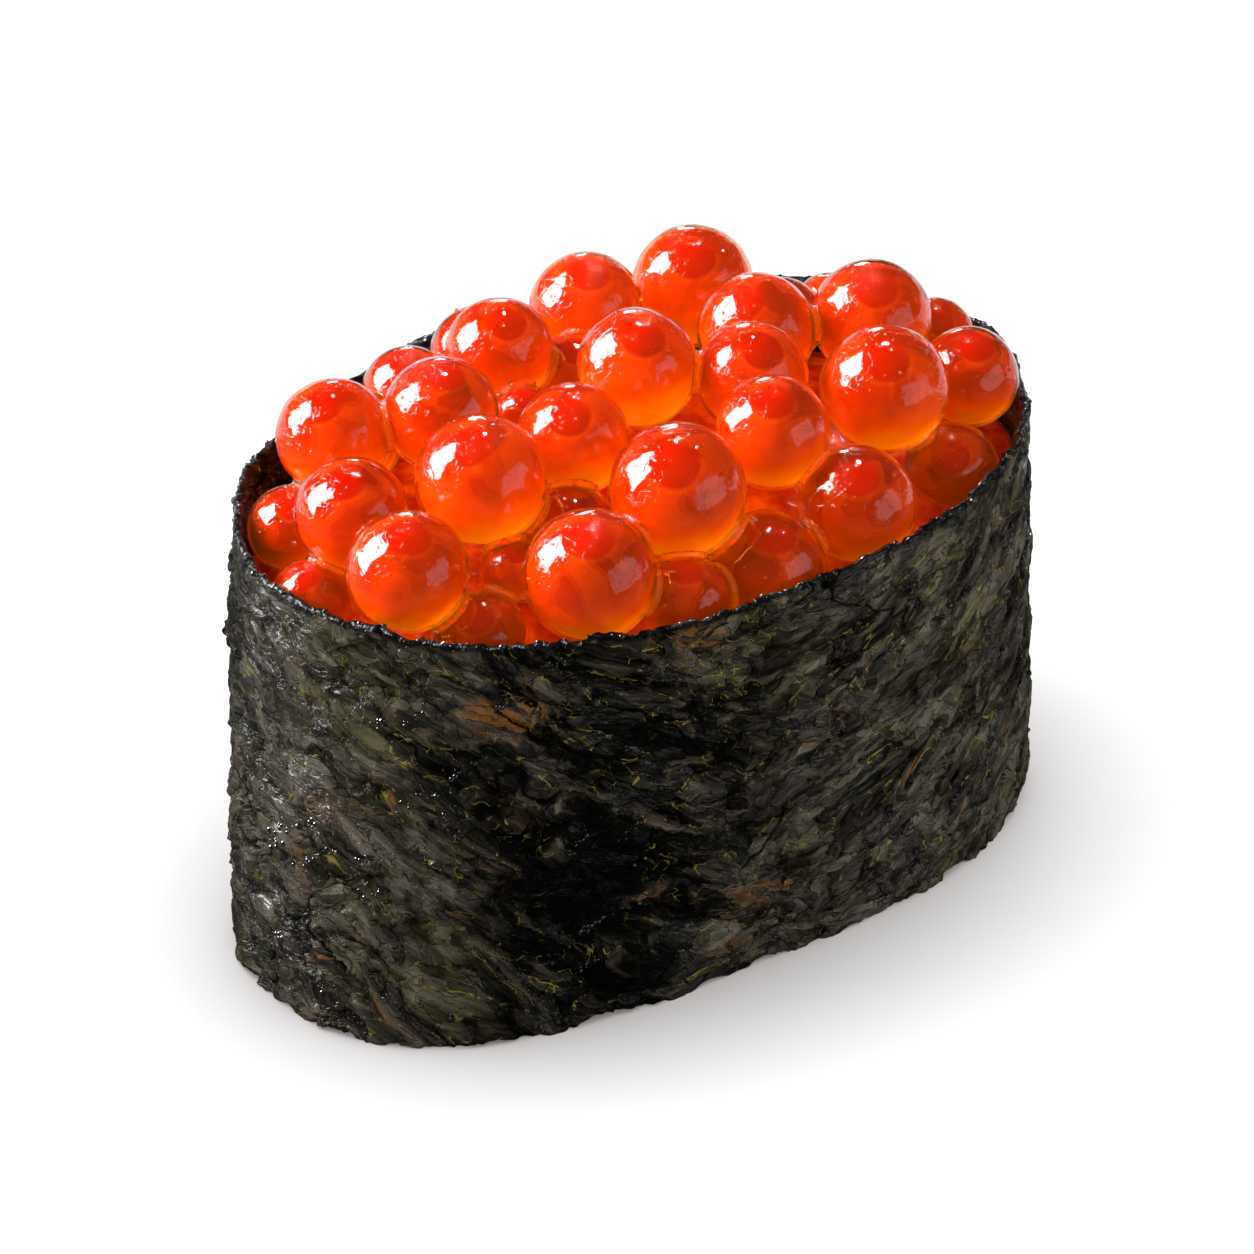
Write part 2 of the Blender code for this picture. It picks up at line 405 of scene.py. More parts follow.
def lidded(name, rings):
    """A closed mesh of rings from the bottom up, with a lid at each end."""
    columns = rings.shape[1]
    index = np.arange(rings.shape[0] * columns).tolist()
    faces = ring_faces(*rings.shape[:2])[:-1].reshape(-1, 4).tolist()
    return new_mesh(name, rings, [*faces, index[:columns][::-1], index[-columns:]])


def stored(data, name="position"):
    """What a mesh stores on its points, by default their places."""
    layer = data.attributes[name]
    wide = layer.data_type == "FLOAT_VECTOR"
    flat = np.empty(len(data.vertices) * (3 if wide else 1), dtype=np.float32)
    layer.data.foreach_get("vector" if wide else "value", flat)
    return flat.reshape(-1, 3) if wide else flat


def put_coordinates(data, places):
    data.vertices.foreach_set("co", np.ascontiguousarray(places, dtype=np.float32).ravel())
    data.update()


def place_piece(piece, material, node=None):
    """Gives a finished piece its material and smooth shading, puts it under the root body, and hides the part
    that it replaces.
    """
    piece.data.materials.clear()
    piece.data.materials.append(material)
    piece.data.shade_smooth()
    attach(piece, "root")
    if node:
        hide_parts(node)


# ---- shared finishes

def new_material(name):
    material = bpy.data.materials.new(name)
    material.use_nodes = True
    material.cycles.emission_sampling = "NONE"
    return material, material.node_tree, material.node_tree.nodes["Principled BSDF"]


def cloud_group():
    """Soft patches over a piece, and the wet relief they give. Its scale is in waves to the millimetre."""
    inputs = dict.fromkeys((*PATTERN, "Relief"), "Float")
    given, last, tree = new_tree("Cloud", "ShaderNodeTree", inputs, {"Value": "Float", "Normal": "Vector"})
    place = made(tree, "ShaderNodeTexCoord", None, "Object") * (1.0 / MM)
    value = noise(place, *(given[name] for name in PATTERN))
    fill(last, {"Value": value, "Normal": relief(value, given["Relief"], 0.3 * MM)})
    return tree


def cloud(tree, scale, detail=3.0, roughness=0.5, distortion=0.0, depth=0.0):
    """The shared cloud in one material, as its value and its normal."""
    group = bpy.data.node_groups.get("Cloud") or cloud_group()
    values = dict(zip((*PATTERN, "Relief"), (scale, detail, roughness, distortion, depth)))
    placed = add(tree, "ShaderNodeGroup", values, node_tree=group).outputs
    return Value(placed["Value"]), Value(placed["Normal"])


def let_light_in(tree, shader, tint):
    """Lets lamps shine through a clear surface on to what lies under it."""
    clear = add(tree, "ShaderNodeBsdfTransparent", {"Color": tint}).outputs[0]
    shadow = made(tree, "ShaderNodeLightPath", None, "Is Shadow Ray")
    both = made(tree, "ShaderNodeMixShader", {0: shadow, 1: Value(shader.outputs[0]), 2: Value(clear)})
    fill(tree.nodes["Material Output"], {"Surface": both})


# ---- shape of the belt

def mix(start, end, part):
    return start + (end - start) * part


def outline_reach(angle, height, inset=0.0):
    """Distance from the middle to the belt's outer face, in one direction at one height."""
    belt = bpy.context.scene.sushi_belt
    part = np.clip(height / belt.height, 0.0, 1.0)
    half_length = mix(belt.base_length, belt.rim_length, part) / 2 - inset
    half_width = mix(belt.base_width, belt.rim_width, part) / 2 - inset
    power = mix(belt.base_squareness, belt.rim_squareness, part)
    across = (abs(np.cos(angle)) / half_length) ** power
    along = (abs(np.sin(angle)) / half_width) ** power
    return (across + along) ** (-1.0 / power)


def even_angles(count):
    """Directions that cut the outline at mid-height into equal lengths."""
    fine = np.linspace(0.0, 2 * math.pi, 4001)
    reach = outline_reach(fine, bpy.context.scene.sushi_belt.height / 2)
    steps = np.hypot(np.diff(reach * np.cos(fine)), np.diff(reach * np.sin(fine)))
    run = np.concatenate(([0.0], np.cumsum(steps)))
    return np.interp(np.linspace(0.0, run[-1], count, endpoint=False), run, fine)


def spread(angle, reach, level):
    """Points at the given directions, distances from the middle and levels."""
    return np.stack(np.broadcast_arrays(reach * np.cos(angle), reach * np.sin(angle), level), axis=-1)


# ---- seaweed

BELT_COLUMNS = 600
OUTER_ROWS = 112
INNER_ROWS = 30
RIM_ROWS = 4
RIM_SLOPE = 0.018
RIM_WAVE = 0.22 * MM
RIM_ROUNDING = 0.12 * MM
LAP_ANGLE = math.radians(112.0)
LAP_LENGTH = 9.0 * MM
LAP_THICKNESS = 0.38 * MM
DEEPEST = 0.45 * MM
TEAR_HEIGHT = 1.1 * MM
LIFT_HEIGHT = 0.6 * MM

# The pressed fronds: how far their lines sag to the middle, how they are drawn out, and their swirls
FLOW_SAG = 0.018
FLOW_STRETCH = (0.95, 0.95, 1.50)
FLOW_SWIRLS = ((0.11, 7.0), (0.36, 2.8), (1.3, 0.7))

# Where the strip is rusty, olive or black: x, y, z and reach of each patch, in millimetres
RUST_PATCHES = ((-8, -16, 25, 6), (-17, -12, 23, 4), (-2, -14, 4, 4), (14, 12, 17, 6))
OLIVE_PATCHES = ((-24, -6, 22, 6), (-12, -14, 16, 5), (-20, -10, 4, 5), (-3, -16, 24, 4), (-12, 14, 12, 7))
BLACK_PATCHES = ((-19, -11, 18, 5), (-14, -13, 10, 6), (4, 15, 20, 7))

PATCH_WEIGHT = 0.17
BLACK = (0.0006, 0.0006, 0.0004)
RIM_BLACK = (0.0012, 0.0012, 0.0010)
FRINGE = (0.34, 0.27, 0.06)

DROPLET_SEED = 5
DROPLET_SIZES = (0.06 * MM, 0.15 * MM)
RIM_DROPLETS = 180
DROPLET_CLUSTERS = 34
CLUSTER_ARC = (0.5, 0.66)
STRAY_CLUSTERS = 0.35


def lap(angles):
    """Extra thickness where the end of the strip lies over its start."""
    reach = outline_reach(LAP_ANGLE, bpy.context.scene.sushi_belt.height / 2)
    run = ((LAP_ANGLE - angles) % (2 * math.pi)) * reach
    rise = np.clip(1.0 - run / LAP_LENGTH, 0.0, 1.0) ** 0.3
    return np.where(run > LAP_LENGTH, 0.0, LAP_THICKNESS * rise)


def rim_height(angles):
    """The belt's top edge, a little higher at the back and slightly wavy."""
    height = bpy.context.scene.sushi_belt.height
    slope = RIM_SLOPE * outline_reach(angles, height) * np.sin(angles)
    wave = np.sin(4 * angles + 0.6) + 0.6 * np.sin(11 * angles + 2.0)
    return height + slope + RIM_WAVE * wave / 1.6


def belt_sheet():
    """The belt as one closed sheet: up its outer face, over the rim and down its inner face."""
    belt = bpy.context.scene.sushi_belt
    over = np.linspace(0.0, 1.0, RIM_ROWS + 2)[1:-1]
    inner = 1.0 - np.linspace(0.0, 1.0, INNER_ROWS) ** 1.8
    heights = np.concatenate((np.linspace(0.0, 1.0, OUTER_ROWS), np.ones(RIM_ROWS), inner, np.zeros(1)))
    depths = np.concatenate((np.zeros(OUTER_ROWS), over, np.ones(INNER_ROWS), np.full(1, 0.5)))
    angle, height = np.meshgrid(even_angles(BELT_COLUMNS), heights)
    depth = np.repeat(depths[:, None], BELT_COLUMNS, axis=1)
    level = height * rim_height(angle)
    rounding = RIM_ROUNDING * np.sin(np.pi * depth) * (height > 0.5)
    reach = outline_reach(angle, level, belt.thickness * depth) + lap(angle) * (1.0 - depth)
    sheet = spread(angle, outline_reach(angle, level, belt.thickness * 0.5), level)
    return spread(angle, reach, level + rounding), sheet, height


def outward(sheet):
    """Level directions that point out of the belt."""
    along = np.roll(sheet, -1, axis=1) - np.roll(sheet, 1, axis=1)
    out = np.stack([along[..., 1], -along[..., 0], np.zeros(along.shape[:2])], axis=-1)
    return out / np.linalg.norm(out, axis=-1, keepdims=True)


def pressed_flow(place):
    """Coordinates along the pressed fronds, which run down from one end of the belt and up to the other."""
    x, y, z = parts(place)
    flow = joined(x, y, z - x * x * FLOW_SAG) * FLOW_STRETCH
    for scale, reach in FLOW_SWIRLS:
        flow = flow + (noise(flow, scale, 2.0, 0.5, output="Color") - 0.5) * reach
    return flow


def plates(flow, scale):
    """Overlapping bits of frond: how far a spot is from its edge, its own shade, and its lean."""
    values = {"Vector": flow, "Scale": scale}
    edge = made(flow.tree, "ShaderNodeTexVoronoi", values, "Distance", feature="DISTANCE_TO_EDGE")
    cell = add(flow.tree, "ShaderNodeTexVoronoi", values, feature="F1").outputs
    own = Value(cell["Color"])
    return edge, parts(own)[0], dot(flow - Value(cell["Position"]), own - 0.5)


def cracks(flow, width):
    """Long splits along the flow, here and there."""
    line = remap(abs(noise(flow + (60.0, 9.0, 1.0), 0.085, 2.0, 0.5, 0.5) - 0.5), width, 0.0)
    return line * remap(noise(flow + (1.0, 90.0, 1.0), 0.12, 1.0), 0.50, 0.56)


def crinkle_tree():
    """Pushes the sheet in and out: broad folds, plates of frond that lean and part, cracks and flakes."""
    given, last, tree = shaping_tree("Nori crinkle", "Fold depth", "Crinkle depth", "Flake depth")
    place = named(tree, "sheet") * (1.0 / MM)
    flow = pressed_flow(place)
    ridges = noise(flow, 0.20, 3.0, 0.45, 0.3, noise_type="RIDGED_MULTIFRACTAL", normalize=False)
    edge, _, lean = plates(flow, 0.26)
    fine_edge, _, fine_lean = plates(flow, 0.75)
    crinkle = (ridges - 0.9) * 0.26 + lean * 0.16 + fine_lean * 0.26 - cracks(flow, 0.016) * 0.45
    crinkle += remap(edge, 0.0, 0.09, -0.36, 0.0) + remap(fine_edge, 0.0, 0.12, -0.10, 0.0)
    push = (noise(place, 0.10, 2.0) - 0.5) * 2.0 * given["Fold depth"] + crinkle * given["Crinkle depth"]
    push = larger(push + (noise(flow, 1.0, 3.0, 0.5) - 0.5) * 2.2 * given["Flake depth"], -DEEPEST)
    height = named(tree, "height", "FLOAT")
    tears = (noise(place, 0.55, 4.0, 0.75) - 0.55) * TEAR_HEIGHT * remap(height, 0.93, 1.0)
    lift = remap(noise(place, 0.24, 3.0, 0.6), 0.42, 0.75) * LIFT_HEIGHT * remap(height, 0.10, 0.0)
    offset = named(tree, "out") * push + joined(0.0, 0.0, tears + lift)
    kept = keep(given["Geometry"], "flow", flow)
    moved = made(tree, "GeometryNodeSetPosition", {"Geometry": kept, "Offset": offset})
    return close_tree(moved, given, last)


def near_patches(place, patches):
    """How deep a spot lies in the nearest of the patches, from 0 to 1."""
    depth = 0.0
    for x, y, z, reach in patches:
        away = combine("DISTANCE", place, (x, y, z))
        depth = larger(remap(away, reach, 0.2 * reach), depth)
    return depth * PATCH_WEIGHT


def blotches(flow, seat, scale, extra, low, high):
    """Soft patches along the flow, where a noise with some extra in places rises past a level."""
    return remap(noise(flow + seat, scale, 4.0, 0.6, 0.6) + extra, low, high)


def nori_material():
    belt = bpy.context.scene.sushi_belt
    material, tree, shader = new_material("nori")
    place = attribute(tree, "sheet") * (1.0 / MM)
    flow = attribute(tree, "flow")
    across = parts(place)[0]
    # Painted sheen: the sheet is lighter towards its right end and at both ends.
    right = remap(across, -13.0, 5.0)
    painted_sheen_ends = remap(abs(across - 4.0), 16.0, 28.0)
    rim = remap(attribute(tree, "height", "Fac"), 0.985, 0.997)

    edge, shade, lean = plates(flow, 0.26)
    fine_edge, fine_shade, fine_lean = plates(flow, 1.0)
    satin = noise(flow + (3.0, 8.0, 2.0), 0.30, 4.0, 0.55, 0.8)
    grain = noise(flow * (0.45, 0.45, 1.3), 1.5, 3.0, 0.6, 0.8)
    split = cracks(flow, 0.009)
    line = larger(remap(edge, 0.020, 0.003), remap(fine_edge, 0.036, 0.006))
    where = noise(flow + (8.0, 5.0, 71.0), 1.1, 3.0, 0.6)

    rusty = near_patches(place, RUST_PATCHES)
    blacker = near_patches(place, BLACK_PATCHES) - rusty
    dark = blotches(flow, (11.0, 2.0, 5.0), 0.20, blacker, 0.49, 0.56)
    dark = dark * remap(painted_sheen_ends, 0.0, 1.0, 0.95, 0.25) * remap(right, 0.0, 1.0, 1.0, 0.40)
    olive = blotches(flow, (31.0, 7.0, 3.0), 0.20, near_patches(place, OLIVE_PATCHES), 0.52, 0.62)
    rust = blotches(flow, (3.0, 17.0, 43.0), 0.22, rusty, 0.58, 0.74)
    rust = rust * remap(fine_shade, 0.30, 0.60, 0.25, 1.0)
    # Tone: random shades of frond and rust, with painted sheen at the ends and towards the right.
    tone = shade * 0.14 + fine_shade * 0.20 + satin * 1.05 + grain * 0.55
    tone = tone + painted_sheen_ends * 0.24 + right * 0.22 + rust * 0.26
    tone = remap(tone, 0.76, 1.38, smooth=False) ** 2.9
    # The black patches, and painted crease shade in black along plate edges and cracks.
    black_and_crease_shade = larger(line * remap(where, 0.50, 0.44) * 0.8, larger(dark, split))

    base = blend(olive * remap(fine_shade, 0.75, 0.40, 0.15, 0.5), belt.grey, belt.olive)
    base = blend(rust, base, belt.brown)
    base = blend(tone, belt.dark, base)
    base = blend(line * remap(where, 0.52, 0.58) * 0.65, base, FRINGE)
    base = blend(black_and_crease_shade, base, BLACK)
    base = blend(rim * 0.95, base, RIM_BLACK)
    wet = remap(noise(flow + (9.0, 61.0, 5.0), 0.26, 3.0, 0.6), 0.50, 0.56) * (1.0 - painted_sheen_ends * 0.6)
    wet = larger(wet, rim * 0.4) * (1.0 - black_and_crease_shade * 0.9)
    height = satin * 0.8 + lean * 0.20 + fine_lean * 0.35 + grain * 0.30 - split * 0.30 - line * 0.12
    height += noise(flow, 3.2, 2.0) * 0.05
    bump = relief(height, 1.0, MM)
    fill(shader, {"Base Color": base, "Roughness": remap(fine_shade, 0.0, 1.0, 0.45, 0.22),
                  "Specular IOR Level": 0.06, "Normal": bump,
                  "Coat Weight": wet, "Coat Roughness": 0.07, "Coat Normal": bump})
    return material


def droplet_material():
    """A drop of brine on black seaweed: dark, with a clear bright gleam."""
    material, tree, shader = new_material("droplet")
    uneven, _ = cloud(tree, 0.8)
    fill(shader, {"Base Color": blend(uneven, BLACK, (0.008, 0.008, 0.006)), "Roughness": 0.03,
                  "Specular IOR Level": 0.8, "Coat Weight": 1.0, "Coat Roughness": 0.02})
    return material


def droplet_places(data):
    """Where brine clings to the belt, half sunk in it: along its rim and in clusters on its outer face."""
    dice = np.random.default_rng(DROPLET_SEED)
    rows = dice.integers(OUTER_ROWS, OUTER_ROWS + RIM_ROWS, RIM_DROPLETS)
    columns = dice.integers(0, BELT_COLUMNS, RIM_DROPLETS)
    for _ in range(DROPLET_CLUSTERS):
        row, column = dice.uniform(0.1, 0.95) * OUTER_ROWS, dice.uniform(*CLUSTER_ARC) * BELT_COLUMNS
        if dice.uniform() < STRAY_CLUSTERS:
            column = dice.uniform(0.0, 1.0) * BELT_COLUMNS
        count = dice.integers(6, 15)
        along = dice.normal(0.0, 2.6, count)
        rows = np.append(rows, np.clip(row + 0.6 * along + dice.normal(0.0, 0.8, count), 1, OUTER_ROWS - 2))
        columns = np.append(columns, column + along)
    index = (np.rint(rows) * BELT_COLUMNS + np.rint(columns) % BELT_COLUMNS).astype(int)
    least, more = DROPLET_SIZES
    sizes = least + more * dice.uniform(0.0, 1.0, len(index)) ** 2
    inward = -stored(data, "out")[index]
    inward[:RIM_DROPLETS] = (0.0, 0.0, -1.0)
    return stored(data)[index] + 0.5 * sizes[:, None] * inward, sizes


class SUSHI_OT_nori_belt(Operator):
    """Wrap the crinkled seaweed strip round the sushi"""

    bl_idname = "sushi.nori_belt"
    bl_label = "Seaweed belt"

    def execute(self, context):
        belt = context.scene.sushi_belt
        places, sheet, height = belt_sheet()
        faces = ring_faces(*places.shape[:2]).reshape(-1, 4).tolist()
        data = new_mesh("nori_belt_sheet", places, faces)
        store(data, {"sheet": sheet, "out": outward(sheet), "height": height})
        piece = new_object("nori_belt_sheet", data)
        material = nori_material()
        grow(piece, crinkle_tree(), {"Fold depth": belt.fold_depth, "Crinkle depth": belt.crinkle_depth,
                                     "Flake depth": belt.flake_depth, "Material": material})
        places = stored(piece.data)
        places[:, 2] = np.maximum(places[:, 2], 0.0)
        put_coordinates(piece.data, places)
        place_piece(piece, material, "nori_belt")

        spots, sizes = droplet_places(piece.data)
        material = droplet_material()
        place_piece(droplets("nori_droplets", spots, sizes, 2, material), material)
        return {"FINISHED"}


# ---- roe

SPOT_SIDE = (-0.22, -0.31, 0.92)
# Directions in each egg for painted glow: its underside for the yolk, and the lower side away from the window
# for the skin's crescent.
PAINTED_GLOW_SIDE = tuple(Vector((0.05, -0.22, -0.97)).normalized())
PAINTED_CRESCENT_SIDE = tuple(Vector((0.30, -0.62, -0.72)).normalized())
LIGHT_ORANGE = (0.76, 0.13, 0.0005)
FLESH = (1.0, 0.22, 0.06)
# Colours of painted light on the eggs: a shaded tint for painted shade on eggs under others, lighter orange
# lines for painted refraction, and brine that runs from painted shade to painted light.
SHADED = (0.50, 0.14, 0.05)
PAINTED_REFRACTION_ORANGE = (0.95, 0.20, 0.02)
HALO = (1.0, 0.24, 0.02)
DEEP_BRINE = (0.40, 0.014, 0.001)
LIT_BRINE = (0.90, 0.15, 0.002)

NECK_SIDES = 20
NECK_TURNS = 7
FILM = 0.24 * MM
POOL_TOP = 26.4 * MM
POOL_EDGE = 22.6 * MM
POOL_BOTTOM = 17.5 * MM
POOL_RINGS = 60
POOL_COLUMNS = 160
CLIMB = 0.55 * MM
CLIMB_REACH = 0.45 * MM
BEADS_TO_A_NECK = 7
BEADS_TO_AN_EGG = 5
NECK_BEADS = (0.07, 0.22)
SKIN_BEADS = (0.06, 0.14)


def listed_eggs():
    """The eggs that show, as rows of x, y, z and radius."""
    height = bpy.context.scene.sushi_belt.height
    return [(x * MM, y * MM, height + rise * MM, diameter * MM / 2)
            for x, y, rise, diameter in CROWN_EGGS + SHOULDER_EGGS + RIM_EGGS]


def filler_eggs(listed):
    """Eggs under and between the listed ones, on a loose staggered grid at three levels."""
    dice = np.random.default_rng(EGG_SEED)
    eggs = list(listed)
    row_pitch = FILLER_PITCH * math.sqrt(3) / 2
    for level, height in enumerate(FILLER_LEVELS):
        for row in range(-3, 4):
            for column in range(-5, 6):
                nudge = dice.uniform(-0.6, 0.6, 3) * MM
                radius = dice.uniform(*FILLER_DIAMETERS) / 2
                x = (column + 0.5 * ((row + level) % 2)) * FILLER_PITCH + nudge[0]
                y = (row + 0.4 * level) * row_pitch + nudge[1]
                z = height + nudge[2]
                room = outline_reach(math.atan2(y, x), z, WALL + GAP + radius)
                if math.hypot(x, y) > room:
                    continue
                if all(math.dist((x, y, z), egg[:3]) >= FILLER_CLEARANCE * (radius + egg[3]) for egg in eggs):
                    eggs.append((x, y, z, radius))
    return eggs


def settle(eggs):
    """Pushes touching eggs apart and keeps them inside the belt, as they find their places."""
    rim = bpy.context.scene.sushi_belt.height
    places = np.array([egg[:3] for egg in eggs])
    radii = np.array([egg[3] for egg in eggs])
    touching = EGG_SQUASH * (radii[:, None] + radii[None, :])
    for _ in range(SETTLE_ROUNDS):
        apart = places[:, None, :] - places[None, :, :]
        distance = np.linalg.norm(apart, axis=2)
        np.fill_diagonal(distance, 1.0)
        press = np.clip(touching - distance, 0.0, None)
        np.fill_diagonal(press, 0.0)
        places += 0.25 * (apart * (press / distance)[:, :, None]).sum(axis=1)
        for i, (x, y, z) in enumerate(places):
            spare = max(z - rim, 0.0)
            reach_at_rim = math.sqrt(max(radii[i] ** 2 - spare ** 2, 0.0))
            room = outline_reach(math.atan2(y, x), min(z, rim), WALL + 2 * GAP + reach_at_rim)
            reach = math.hypot(x, y)
            if reach > room:
                places[i, :2] *= room / reach
    return places, radii


def painted_egg_light(places, radii):
    """Painted light for each egg: how brightly it glows, with painted shade for eggs under others, and how
    far its painted glow turns to amber, more on top.
    """
    dice = np.random.default_rng(EGG_SEED + 4)
    apart = places[None, :, :] - places[:, None, :]
    near = np.linalg.norm(apart, axis=2) < 1.12 * (radii[:, None] + radii[None, :])
    covers = (near & (apart[:, :, 2] > 0.25 * radii[:, None])).sum(axis=1)
    light = 1.0 - 0.10 * covers + dice.uniform(-0.12, 0.12, len(radii))
    rise = (places[:, 2] - bpy.context.scene.sushi_belt.height) / MM
    painted_glow_warmth = 0.25 + 0.07 * rise + dice.uniform(-0.18, 0.18, len(radii))
    return np.clip(light, 0.35, 1.0), np.clip(painted_glow_warmth, 0.0, 0.9)


def ball_tree(name, subdivisions):
    """A ball on every point, each of its own size and slightly out of true."""
    given, last, tree = shaping_tree(name, "Size", "Unevenness")
    centre, radius = named(tree, "centre"), named(tree, "radius", "FLOAT")
    ball = made(tree, "GeometryNodeMeshIcoSphere", {"Radius": 1.0, "Subdivisions": subdivisions}, "Mesh")
    balls = made(tree, "GeometryNodeInstanceOnPoints",
                 {"Points": given["Geometry"], "Instance": ball, "Scale": radius * given["Size"],
                  "Rotation": named(tree, "turn")})
    balls = made(tree, "GeometryNodeRealizeInstances", {"Geometry": balls})
    spoke = made(tree, "GeometryNodeInputPosition") - centre
    around = combine("NORMALIZE", spoke) * 3.3 + centre * (1.0 / MM)
    wobble = (noise(around, 0.35, 2.0, 0.5) - 0.5) * given["Unevenness"] * 2.0
    moved = made(tree, "GeometryNodeSetPosition", {"Geometry": balls, "Offset": spoke * wobble})
    return close_tree(keep(moved, "local", spoke * radius ** -1.0), given, last)


def droplets(name, spots, sizes, subdivisions, material):
    """Small uneven balls of brine."""
    values = {"radius": sizes, "centre": spots, "turn": spots * 9000.0}
    shape = {"Size": 1.0, "Unevenness": 0.2}
    return scattered(name, spots, values, ball_tree(name, subdivisions), shape, material)


def press_flat(data, places, radii, numbers, size):
    """Flattens each egg where it meets a neighbour, so that no two run into each other."""
    spots = stored(data).astype(np.float64)
    for i, (centre, radius) in enumerate(zip(places, radii)):
        mine = np.nonzero(numbers == i)[0]
        for j, (other, other_radius) in enumerate(zip(places, radii)):
            between = other - centre
            distance = np.linalg.norm(between)
            if i == j or distance > radius + other_radius:
                continue
            axis = between / distance
            middle = (distance ** 2 + radius ** 2 - other_radius ** 2) / (2 * distance)
            depth = (spots[mine] - centre) @ axis - (middle * size - 0.02 * MM)
            over = depth > 0
            spots[mine[over]] -= depth[over, None] * axis
    put_coordinates(data, spots)


def yolk_material():
    roe = bpy.context.scene.sushi_roe
    material, tree, shader = new_material("roe_yolk")
    facing = combine("NORMALIZE", attribute(tree, "local"))
    # Painted light: the ramp turns from painted shade on the sky side to a painted amber glow underneath, and
    # the light share puts painted shade on eggs under others.
    light = attribute(tree, "light", "Fac")
    painted_glow_warmth = attribute(tree, "painted_glow_warmth", "Fac") - 0.42
    gather = dot(facing, PAINTED_GLOW_SIDE) + (cloud(tree, 0.30)[0] - 0.5 + painted_glow_warmth) * 0.9
    shade = ramp(remap(gather, -1.0, 1.0, smooth=False), (
        (0.05, roe.red), (0.38, roe.orange), (0.64, LIGHT_ORANGE), (0.94, roe.amber)))
    shade = blend(1.0, shade, blend(light, SHADED, (1.0, 1.0, 1.0)), "MULTIPLY")
    # Painted refraction: thin lighter orange lines through the yolk.
    painted_refraction, _ = cloud(tree, 0.42, 1.0, 0.4, 0.6)
    painted_refraction = remap(painted_refraction, 0.47, 0.49) + remap(painted_refraction, 0.57, 0.60)
    shade = blend(painted_refraction * 0.12, shade, PAINTED_REFRACTION_ORANGE)

    ripple = (cloud(tree, 0.8, 1.0, 0.55)[0] - 0.5) * 0.03
    spot = dot(facing, attribute(tree, "top")) + ripple
    edge = math.cos(math.asin(roe.spot_share))
    lower = remap(parts(facing)[2], 0.93, 0.78)
    halo = remap(spot, edge - 0.06, edge) * lower
    disc = made(tree, "ShaderNodeMix", {0: lower, 2: remap(spot, edge - 0.07, edge + 0.06),
                                        3: remap(spot, edge - 0.02, edge + 0.02)})
    shade = blend(halo * 0.12, shade, HALO)
    shade = blend(disc * 0.92, shade, roe.spot)
    # Painted glow: emission strongest on the underside and weaker on eggs under others.
    glow = remap(gather, -0.2, 0.9, 0.02, 0.42) * remap(light, 0.0, 1.0, 0.25, 1.0, smooth=False)
    fill(shader, {"Base Color": shade, "Roughness": 0.25, "Specular IOR Level": 0.0, "Subsurface Weight": 0.5,
                  "Subsurface Radius": FLESH, "Subsurface Scale": 1.5 * MM,
                  "Emission Color": shade, "Emission Strength": glow})
    return material


def skin_material():
    material, tree, shader = new_material("roe_skin")
    facing = combine("NORMALIZE", attribute(tree, "local"))
    # Painted glow: a crescent of emission on the lower side away from the window, weaker on eggs under
    # others.
    gather = remap(dot(facing, PAINTED_CRESCENT_SIDE), 0.74, 0.97, 0.05, 0.42) * attribute(tree, "light", "Fac")
    height = cloud(tree, 0.45, 2.0, 0.5, 0.4)[0] + cloud(tree, 2.0, 1.0, 0.6, 0.8)[0] * 0.09
    height += remap(cloud(tree, 2.6, 1.0, 0.5, 1.0)[0], 0.55, 0.66) * 0.11
    bump = relief(height, 0.45, 0.3 * MM)
    fill(shader, {"Base Color": (1.0, 0.30, 0.05), "Roughness": 0.0, "IOR": 1.05, "Transmission Weight": 1.0,
                  "Sheen Weight": 0.45, "Sheen Tint": (1.0, 0.16, 0.006), "Sheen Roughness": 0.2,
                  "Emission Color": (1.0, 0.30, 0.004), "Emission Strength": gather,
                  "Coat Weight": 1.0, "Coat Roughness": 0.015, "Normal": bump, "Coat Normal": bump})
    let_light_in(tree, shader, (1.0, 0.72, 0.5))
    return material


def brine_material():
    roe = bpy.context.scene.sushi_roe
    material, tree, shader = new_material("roe_brine")
    patches, _ = cloud(tree, 0.35, 3.0, 0.55)
    # The patches run from painted shade to painted light, and the emission is a painted glow.
    shade = ramp(patches, ((0.40, DEEP_BRINE), (0.53, roe.brine), (0.68, LIT_BRINE)))
    fill(shader, {"Base Color": shade, "Roughness": 0.05,
                  "Specular IOR Level": 0.45, "Subsurface Weight": 0.6,
                  "Subsurface Radius": FLESH, "Subsurface Scale": 1.2 * MM, "Emission Color": shade,
                  "Emission Strength": 0.12, "Normal": cloud(tree, 1.6, 3.0, 0.6, 0.5, 0.6)[1]})
    return material


def clear_material(name, tint, bending, depth, glow):
    """Clear brine that lets light through to what lies under it, with a faint painted glow."""
    material, tree, shader = new_material(name)
    _, bump = cloud(tree, 1.6, 3.0, 0.6, 0.5, depth)
    fill(shader, {"Base Color": tint, "Roughness": 0.0, "IOR": bending, "Transmission Weight": 1.0,
                  "Emission Color": (1.0, 0.28, 0.003), "Emission Strength": glow,
                  "Coat Weight": 1.0, "Coat Roughness": 0.02, "Normal": bump, "Coat Normal": bump})
    let_light_in(tree, shader, (1.0, 0.8, 0.65))
    return material


